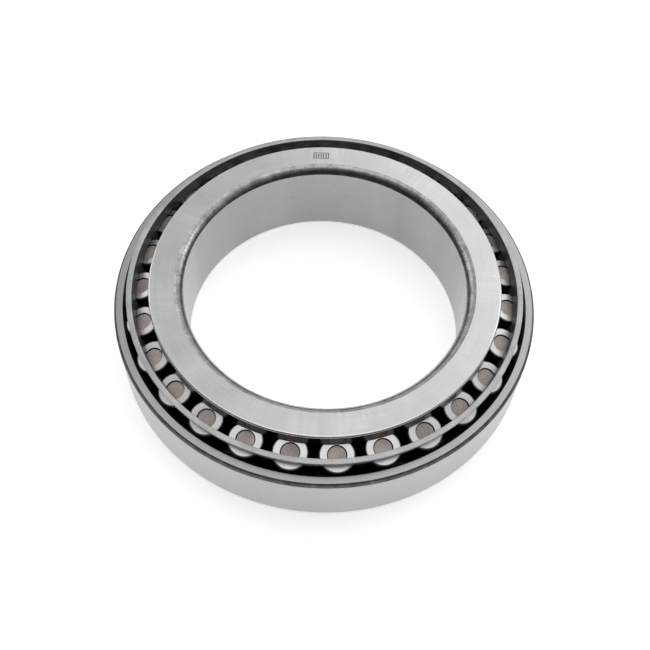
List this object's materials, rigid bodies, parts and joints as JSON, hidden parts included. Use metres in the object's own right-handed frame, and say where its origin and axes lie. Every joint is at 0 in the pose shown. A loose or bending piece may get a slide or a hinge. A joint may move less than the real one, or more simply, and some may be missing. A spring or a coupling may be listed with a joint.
{
  "type": "tapered roller bearing",
  "caption": "Single-row tapered roller bearing: inner ring with two ribs, outer ring, pressed steel cage and tapered rollers that turn together.",
  "frame": {"origin": "on the bearing's axis, in the plane of the outer ring's back face and the inner ring's front face", "axes": "+Z along the bearing's axis, towards the inner ring's back face, where the large rib and the roller heads are"},
  "size_m": [0.15, 0.15, 0.032],
  "materials": {
    "inner_ring_steel": "ground bearing steel, bright satin",
    "outer_ring_steel": "ground bearing steel, satin",
    "roller_steel": "fine ground and superfinished bearing steel",
    "cage_steel": "pressed sheet steel, matt phosphated"
  },
  "bodies": {
    "outer_ring": {"outer_ring": "outer_ring_steel"},
    "inner_ring": {"inner_ring": "inner_ring_steel"},
    "cage": {"cage": "cage_steel"},
    "roller_01": {"roller_01": "roller_steel"},
    "roller_02": {"roller_02": "roller_steel"},
    "roller_03": {"roller_03": "roller_steel"},
    "roller_04": {"roller_04": "roller_steel"},
    "roller_05": {"roller_05": "roller_steel"},
    "roller_06": {"roller_06": "roller_steel"},
    "roller_07": {"roller_07": "roller_steel"},
    "roller_08": {"roller_08": "roller_steel"},
    "roller_09": {"roller_09": "roller_steel"},
    "roller_10": {"roller_10": "roller_steel"},
    "roller_11": {"roller_11": "roller_steel"},
    "roller_12": {"roller_12": "roller_steel"},
    "roller_13": {"roller_13": "roller_steel"},
    "roller_14": {"roller_14": "roller_steel"},
    "roller_15": {"roller_15": "roller_steel"},
    "roller_16": {"roller_16": "roller_steel"},
    "roller_17": {"roller_17": "roller_steel"},
    "roller_18": {"roller_18": "roller_steel"},
    "roller_19": {"roller_19": "roller_steel"},
    "roller_20": {"roller_20": "roller_steel"},
    "roller_21": {"roller_21": "roller_steel"},
    "roller_22": {"roller_22": "roller_steel"},
    "roller_23": {"roller_23": "roller_steel"},
    "roller_24": {"roller_24": "roller_steel"},
    "roller_25": {"roller_25": "roller_steel"},
    "roller_26": {"roller_26": "roller_steel"},
    "roller_27": {"roller_27": "roller_steel"}
  },
  "joints": [
    {"name": "inner_ring_spin", "type": "hinge", "parent": "outer_ring", "child": "inner_ring", "pos_m": [0, 0, 0.016], "axis": [0, 0, 1], "continuous": true},
    {"name": "cage_spin", "type": "hinge", "parent": "outer_ring", "child": "cage", "pos_m": [0, 0, 0.016], "axis": [0, 0, 1], "continuous": true},
    {"name": "roller_01_spin", "type": "hinge", "parent": "cage", "child": "roller_01", "pos_m": [0.06162, 0.00943, 0.01562], "axis": [0.265, 0.0405, 0.9634], "continuous": true},
    {"name": "roller_02_spin", "type": "hinge", "parent": "cage", "child": "roller_02", "pos_m": [0.05778, 0.02338, 0.01562], "axis": [0.2485, 0.1006, 0.9634], "continuous": true},
    {"name": "roller_03_spin", "type": "hinge", "parent": "cage", "child": "roller_03", "pos_m": [0.05083, 0.03608, 0.01562], "axis": [0.2186, 0.1552, 0.9634], "continuous": true},
    {"name": "roller_04_spin", "type": "hinge", "parent": "cage", "child": "roller_04", "pos_m": [0.04114, 0.04683, 0.01562], "axis": [0.1769, 0.2014, 0.9634], "continuous": true},
    {"name": "roller_05_spin", "type": "hinge", "parent": "cage", "child": "roller_05", "pos_m": [0.02923, 0.05505, 0.01562], "axis": [0.1257, 0.2368, 0.9634], "continuous": true},
    {"name": "roller_06_spin", "type": "hinge", "parent": "cage", "child": "roller_06", "pos_m": [0.01575, 0.06031, 0.01562], "axis": [0.0677, 0.2594, 0.9634], "continuous": true},
    {"name": "roller_07_spin", "type": "hinge", "parent": "cage", "child": "roller_07", "pos_m": [0.00141, 0.06232, 0.01562], "axis": [0.0061, 0.268, 0.9634], "continuous": true},
    {"name": "roller_08_spin", "type": "hinge", "parent": "cage", "child": "roller_08", "pos_m": [-0.013, 0.06096, 0.01562], "axis": [-0.0559, 0.2622, 0.9634], "continuous": true},
    {"name": "roller_09_spin", "type": "hinge", "parent": "cage", "child": "roller_09", "pos_m": [-0.0267, 0.05632, 0.01562], "axis": [-0.1148, 0.2422, 0.9634], "continuous": true},
    {"name": "roller_10_spin", "type": "hinge", "parent": "cage", "child": "roller_10", "pos_m": [-0.03897, 0.04865, 0.01562], "axis": [-0.1676, 0.2092, 0.9634], "continuous": true},
    {"name": "roller_11_spin", "type": "hinge", "parent": "cage", "child": "roller_11", "pos_m": [-0.04914, 0.03835, 0.01562], "axis": [-0.2113, 0.1649, 0.9634], "continuous": true},
    {"name": "roller_12_spin", "type": "hinge", "parent": "cage", "child": "roller_12", "pos_m": [-0.05666, 0.02598, 0.01562], "axis": [-0.2437, 0.1117, 0.9634], "continuous": true},
    {"name": "roller_13_spin", "type": "hinge", "parent": "cage", "child": "roller_13", "pos_m": [-0.06112, 0.01221, 0.01562], "axis": [-0.2629, 0.0525, 0.9634], "continuous": true},
    {"name": "roller_14_spin", "type": "hinge", "parent": "cage", "child": "roller_14", "pos_m": [-0.06229, -0.00221, 0.01562], "axis": [-0.2679, -0.0095, 0.9634], "continuous": true},
    {"name": "roller_15_spin", "type": "hinge", "parent": "cage", "child": "roller_15", "pos_m": [-0.0601, -0.01652, 0.01562], "axis": [-0.2585, -0.071, 0.9634], "continuous": true},
    {"name": "roller_16_spin", "type": "hinge", "parent": "cage", "child": "roller_16", "pos_m": [-0.05467, -0.02993, 0.01562], "axis": [-0.2351, -0.1287, 0.9634], "continuous": true},
    {"name": "roller_17_spin", "type": "hinge", "parent": "cage", "child": "roller_17", "pos_m": [-0.0463, -0.04174, 0.01562], "axis": [-0.1991, -0.1795, 0.9634], "continuous": true},
    {"name": "roller_18_spin", "type": "hinge", "parent": "cage", "child": "roller_18", "pos_m": [-0.03543, -0.05129, 0.01562], "axis": [-0.1524, -0.2206, 0.9634], "continuous": true},
    {"name": "roller_19_spin", "type": "hinge", "parent": "cage", "child": "roller_19", "pos_m": [-0.02264, -0.05807, 0.01562], "axis": [-0.0974, -0.2498, 0.9634], "continuous": true},
    {"name": "roller_20_spin", "type": "hinge", "parent": "cage", "child": "roller_20", "pos_m": [-0.00864, -0.06173, 0.01562], "axis": [-0.0372, -0.2655, 0.9634], "continuous": true},
    {"name": "roller_21_spin", "type": "hinge", "parent": "cage", "child": "roller_21", "pos_m": [0.00583, -0.06206, 0.01562], "axis": [0.0251, -0.2669, 0.9634], "continuous": true},
    {"name": "roller_22_spin", "type": "hinge", "parent": "cage", "child": "roller_22", "pos_m": [0.01998, -0.05904, 0.01562], "axis": [0.0859, -0.2539, 0.9634], "continuous": true},
    {"name": "roller_23_spin", "type": "hinge", "parent": "cage", "child": "roller_23", "pos_m": [0.03306, -0.05284, 0.01562], "axis": [0.1422, -0.2273, 0.9634], "continuous": true},
    {"name": "roller_24_spin", "type": "hinge", "parent": "cage", "child": "roller_24", "pos_m": [0.04436, -0.04379, 0.01562], "axis": [0.1908, -0.1883, 0.9634], "continuous": true},
    {"name": "roller_25_spin", "type": "hinge", "parent": "cage", "child": "roller_25", "pos_m": [0.05326, -0.03238, 0.01562], "axis": [0.2291, -0.1393, 0.9634], "continuous": true},
    {"name": "roller_26_spin", "type": "hinge", "parent": "cage", "child": "roller_26", "pos_m": [0.05929, -0.01923, 0.01562], "axis": [0.255, -0.0827, 0.9634], "continuous": true},
    {"name": "roller_27_spin", "type": "hinge", "parent": "cage", "child": "roller_27", "pos_m": [0.06213, -0.00504, 0.01562], "axis": [0.2672, -0.0217, 0.9634], "continuous": true}
  ],
  "couplings": [
    {"joint": "cage_spin", "follows": "inner_ring_spin", "ratio": 0.45452},
    {"joint": "roller_01_spin", "follows": "inner_ring_spin", "ratio": -5.2515},
    {"joint": "roller_02_spin", "follows": "inner_ring_spin", "ratio": -5.2515},
    {"joint": "roller_03_spin", "follows": "inner_ring_spin", "ratio": -5.2515},
    {"joint": "roller_04_spin", "follows": "inner_ring_spin", "ratio": -5.2515},
    {"joint": "roller_05_spin", "follows": "inner_ring_spin", "ratio": -5.2515},
    {"joint": "roller_06_spin", "follows": "inner_ring_spin", "ratio": -5.2515},
    {"joint": "roller_07_spin", "follows": "inner_ring_spin", "ratio": -5.2515},
    {"joint": "roller_08_spin", "follows": "inner_ring_spin", "ratio": -5.2515},
    {"joint": "roller_09_spin", "follows": "inner_ring_spin", "ratio": -5.2515},
    {"joint": "roller_10_spin", "follows": "inner_ring_spin", "ratio": -5.2515},
    {"joint": "roller_11_spin", "follows": "inner_ring_spin", "ratio": -5.2515},
    {"joint": "roller_12_spin", "follows": "inner_ring_spin", "ratio": -5.2515},
    {"joint": "roller_13_spin", "follows": "inner_ring_spin", "ratio": -5.2515},
    {"joint": "roller_14_spin", "follows": "inner_ring_spin", "ratio": -5.2515},
    {"joint": "roller_15_spin", "follows": "inner_ring_spin", "ratio": -5.2515},
    {"joint": "roller_16_spin", "follows": "inner_ring_spin", "ratio": -5.2515},
    {"joint": "roller_17_spin", "follows": "inner_ring_spin", "ratio": -5.2515},
    {"joint": "roller_18_spin", "follows": "inner_ring_spin", "ratio": -5.2515},
    {"joint": "roller_19_spin", "follows": "inner_ring_spin", "ratio": -5.2515},
    {"joint": "roller_20_spin", "follows": "inner_ring_spin", "ratio": -5.2515},
    {"joint": "roller_21_spin", "follows": "inner_ring_spin", "ratio": -5.2515},
    {"joint": "roller_22_spin", "follows": "inner_ring_spin", "ratio": -5.2515},
    {"joint": "roller_23_spin", "follows": "inner_ring_spin", "ratio": -5.2515},
    {"joint": "roller_24_spin", "follows": "inner_ring_spin", "ratio": -5.2515},
    {"joint": "roller_25_spin", "follows": "inner_ring_spin", "ratio": -5.2515},
    {"joint": "roller_26_spin", "follows": "inner_ring_spin", "ratio": -5.2515},
    {"joint": "roller_27_spin", "follows": "inner_ring_spin", "ratio": -5.2515}
  ]
}
